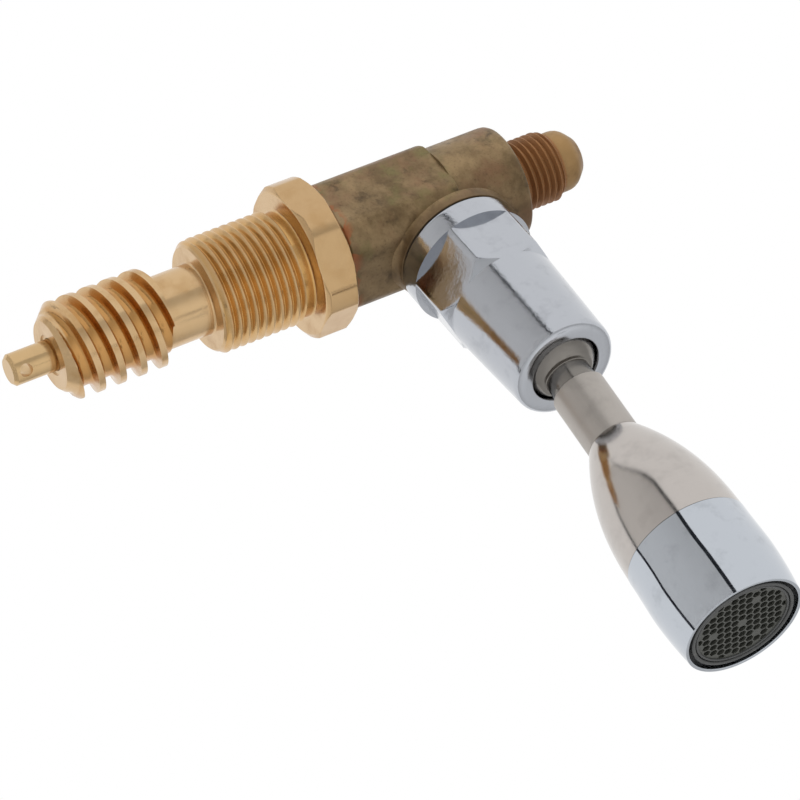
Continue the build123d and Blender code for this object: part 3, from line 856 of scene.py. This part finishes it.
def moulded(name, colour, worn, roughness):
    """Moulded plastic or rubber with a fine uneven skin and a dusty bloom."""
    f = Finish(name)
    f.colour(f.blend(f.mottle(700, 0.5, 0.8), colour, worn))
    f.rough(f.spread(f.mottle(900, 0.3, 0.7), roughness - 0.08, roughness + 0.08))
    f.bump(f.mottle(2500, 0.2, 0.8), 0.2, FINE_SKIN)
    return f.material


def coat(piece, material):
    """Gives an object one material."""
    slots = piece.data.materials
    if len(slots):
        slots[0] = material
    else:
        slots.append(material)


def cast_copper():
    """Copper joint ring, dulled brown in places."""
    f = Finish("copper")
    f.plain(Metallic=1.0)
    f.colour(f.blend(f.mottle(500, 0.4, 0.7), linear(196, 120, 80), linear(120, 66, 42)))
    f.rough(f.spread(f.mottle(700, 0.3, 0.7), 0.32, 0.5))
    return f.material


finishes = {
    "bright_brass": bright_brass(),
    "aged_brass": aged_brass(),
    "copper": cast_copper(),
    "stem_brass": turned_steel("stem_brass", linear(206, 174, 128), 0.14, 0.24, MAIN),
    "black_rubber": moulded("black_rubber", linear(20, 20, 21), linear(38, 38, 38), 0.6),
    "spring_steel": turned_steel("spring_steel", linear(190, 190, 190), 0.25, 0.35, MAIN),
    "nut_chrome": chrome("nut_chrome", linear(184, 187, 193), 0.08, 0.15, BRANCH, 1700, 0.2),
    "ring_chrome": chrome("ring_chrome", linear(190, 195, 202), 0.04, 0.08, SPOUT, 420, 0.015),
    # Painted shade: the ball's steel has a much darker tint than the bell's, for the ball lying deep in the
    # nut's mouth.
    "ball_steel": turned_steel("ball_steel", linear(132, 128, 123), 0.16, 0.24, SPOUT),
    "polished_steel": turned_steel("polished_steel", linear(190, 184, 179), 0.1, 0.18, SPOUT),
    "matt_steel": turned_steel("matt_steel", linear(177, 171, 165), 0.36, 0.44, SPOUT),
    "white_plastic": moulded("white_plastic", linear(235, 235, 228), linear(222, 220, 210), 0.4),
    "grey_plastic": moulded("grey_plastic", linear(64, 65, 65), linear(80, 80, 78), 0.4),
    "grid_plastic": moulded("grid_plastic", linear(66, 67, 62), linear(78, 78, 73), 0.4),
}
slot_finish = dict(finishes, chrome=finishes["ring_chrome"])
for part in record["subparts"]:
    coat(frame["nodes"][part["node"]], slot_finish[part["material_slot"]])

coat(stand_for(bonnet(), "bonnet", "root"), finishes["bright_brass"])
coat(stand_for(tee_main(), "tee_body", "root"), finishes["aged_brass"])
coat(stand_for(tee_branch(), "tee_body", "root"), finishes["aged_brass"])
coat(stand_for(ball_nut(), "ball_nut", "root"), finishes["nut_chrome"])
coat(stand_for(spout_ball(), "spout_ball", "spout"), finishes["ball_steel"])
coat(stand_for(spout_sleeve(), "spout_sleeve", "spout"), finishes["matt_steel"])
coat(stand_for(spout_bell(), "spout_bell", "spout"), finishes["polished_steel"])
coat(stand_for(aerator_ring(), "aerator_ring", "spout"), finishes["ring_chrome"])
coat(stand_for(cartridge(), "aerator_cartridge", "spout"), finishes["grey_plastic"])
coat(stand_for(honeycomb(), "honeycomb_grid", "spout"), finishes["grid_plastic"])


# Stage, light and camera


def floor():
    """A wide pale floor, well below the tap, as where a drip tray's table would be."""
    size = 3.0
    drop = -0.62
    mesh = bpy.data.meshes.new("floor")
    corners = [(-size, -size, drop), (size, -size, drop), (size, size, drop), (-size, size, drop)]
    mesh.from_pydata(corners, [], [(0, 1, 2, 3)])
    plane = bpy.data.objects.new("floor", mesh)
    bpy.context.scene.collection.objects.link(plane)
    f = Finish("pale_floor")
    f.colour(f.blend(f.mottle(3, 0.3, 0.7), linear(244, 244, 243), linear(250, 250, 250)))
    f.plain(Roughness=0.8, Emission_Color=(1.0, 1.0, 1.0, 1.0))
    seen = f.node("ShaderNodeLightPath").outputs["Is Camera Ray"]
    f.link(f.spread(seen, 0.0, 0.25), f.shader.inputs["Emission Strength"])
    coat(plane, f.material)


def soft_light(name, toward, distance, size, power):
    """A square soft light that looks at the tap from a direction."""
    lamp = bpy.data.lights.new(name, "AREA")
    lamp.size = size
    lamp.energy = power
    light = bpy.data.objects.new(name, lamp)
    direction = Vector(toward).normalized()
    light.location = Vector(TAP_MIDDLE) + direction * distance
    light.visible_glossy = False
    light.rotation_euler = direction.to_track_quat("Z", "Y").to_euler()
    bpy.context.scene.collection.objects.link(light)


def card(name, edges, distance, colour):
    """A studio card, bent to a sphere round the tap, that only polished surfaces see.

    Its point at azimuth a and elevation e is middle + distance * (cos e cos a, cos e sin a, sin e). The edges
    are rows of an elevation and the azimuths where the card starts and ends there."""
    level, start, end = np.array(edges, float).T
    high, wide = 12, 24
    e = np.linspace(level[0], level[-1], high)[None]
    share = np.linspace(0, 1, wide)[:, None]
    a = np.radians(np.interp(e, level, start) * (1 - share) + np.interp(e, level, end) * share)
    e = np.radians(np.repeat(e, wide, axis=0))
    outward = np.stack([np.cos(e) * np.cos(a), np.cos(e) * np.sin(a), np.sin(e)], -1)
    points = outward * distance + TAP_MIDDLE
    i, j = np.meshgrid(np.arange(wide - 1), np.arange(high - 1), indexing="ij")
    quads = np.stack([i * high + j, i * high + j + 1, (i + 1) * high + j + 1, (i + 1) * high + j], -1)
    mesh = bpy.data.meshes.new(name)
    mesh.from_pydata(points.reshape(-1, 3).tolist(), [], quads.reshape(-1, 4).tolist())
    piece = bpy.data.objects.new(name, mesh)
    bpy.context.scene.collection.objects.link(piece)
    f = Finish(name)
    f.plain(Base_Color=colour, Roughness=0.9)
    coat(piece, f.material)
    piece.visible_camera = False
    piece.visible_diffuse = False
    piece.visible_shadow = False


def world():
    """White to the camera and to reflections; a softer, uneven white tent for the light on dull surfaces."""
    scene_world = bpy.data.worlds.new("studio")
    bpy.context.scene.world = scene_world
    scene_world.use_nodes = True
    tree = scene_world.node_tree
    tree.nodes.clear()
    out = tree.nodes.new("ShaderNodeOutputWorld")
    background = tree.nodes.new("ShaderNodeBackground")
    background.inputs["Color"].default_value = (1.0, 1.0, 1.0, 1.0)
    rays = tree.nodes.new("ShaderNodeLightPath")
    seen = None
    for label in ("Is Camera Ray", "Is Glossy Ray", "Is Transmission Ray"):
        if seen is None:
            seen = rays.outputs[label]
            continue
        either = tree.nodes.new("ShaderNodeMath")
        either.operation = "MAXIMUM"
        tree.links.new(seen, either.inputs[0])
        tree.links.new(rays.outputs[label], either.inputs[1])
        seen = either.outputs["Value"]
    place = tree.nodes.new("ShaderNodeTexCoord")
    waves = tree.nodes.new("ShaderNodeTexNoise")
    waves.inputs["Scale"].default_value = 1.6
    waves.inputs["Detail"].default_value = 1.0
    spread = tree.nodes.new("ShaderNodeMapRange")
    spread.interpolation_type = "SMOOTHSTEP"
    spread.inputs["From Min"].default_value = 0.36
    spread.inputs["From Max"].default_value = 0.60
    spread.inputs["To Min"].default_value = 0.45
    spread.inputs["To Max"].default_value = 0.85
    pick = tree.nodes.new("ShaderNodeMix")
    pick.data_type = "FLOAT"
    tree.links.new(place.outputs["Generated"], waves.inputs["Vector"])
    tree.links.new(waves.outputs["Fac"], spread.inputs["Value"])
    tree.links.new(seen, pick.inputs["Factor"])
    tree.links.new(spread.outputs["Result"], pick.inputs["A"])
    pick.inputs["B"].default_value = 1.0
    tree.links.new(pick.outputs["Result"], background.inputs["Strength"])
    tree.links.new(background.outputs["Background"], out.inputs["Surface"])


def camera():
    """Camera at the photograph's viewing angle, with the photograph's frame."""
    data = bpy.data.cameras.new("camera")
    data.lens = CAMERA_LENS
    data.sensor_width = SENSOR_WIDTH
    data.clip_start = 0.01
    eye = bpy.data.objects.new("camera", data)
    right = CAMERA_FORWARD.cross(CAMERA_UP)
    turn = Matrix((right, CAMERA_UP, -CAMERA_FORWARD)).transposed().to_4x4()
    eye.matrix_world = Matrix.Translation(CAMERA_AT) @ turn
    bpy.context.scene.collection.objects.link(eye)
    bpy.context.scene.camera = eye


floor()
world()
soft_light("overhead", (0.9, 0.25, 0.45), 0.7, 0.5, 4.0)
soft_light("front_fill", (0.5, -0.8, -0.25), 0.7, 0.35, 1.6)
soft_light("back_rim", (-0.6, 0.5, 0.6), 0.7, 0.4, 2.0)
card("front_wall", ((-16, -98, -6), (30, -98, -6), (40, -98, -4), (52, -95, -24), (66, -92, -58)),
     0.62, linear(210, 209, 208))
card("wall_seam", ((-14, -9, -3), (30, -9, -3), (40, -7, 0), (52, -27, -22), (66, -61, -57)),
     0.6, linear(30, 32, 38))
card("side_seam", ((-14, -103, -98), (36, -103, -98), (60, -97, -93)), 0.6, linear(30, 32, 38))
card("table_edge", ((-69.5, 40, 72), (-66, 40, 72)), 0.5, linear(50, 40, 32))
camera()
bpy.context.scene.view_settings.view_transform = "Standard"
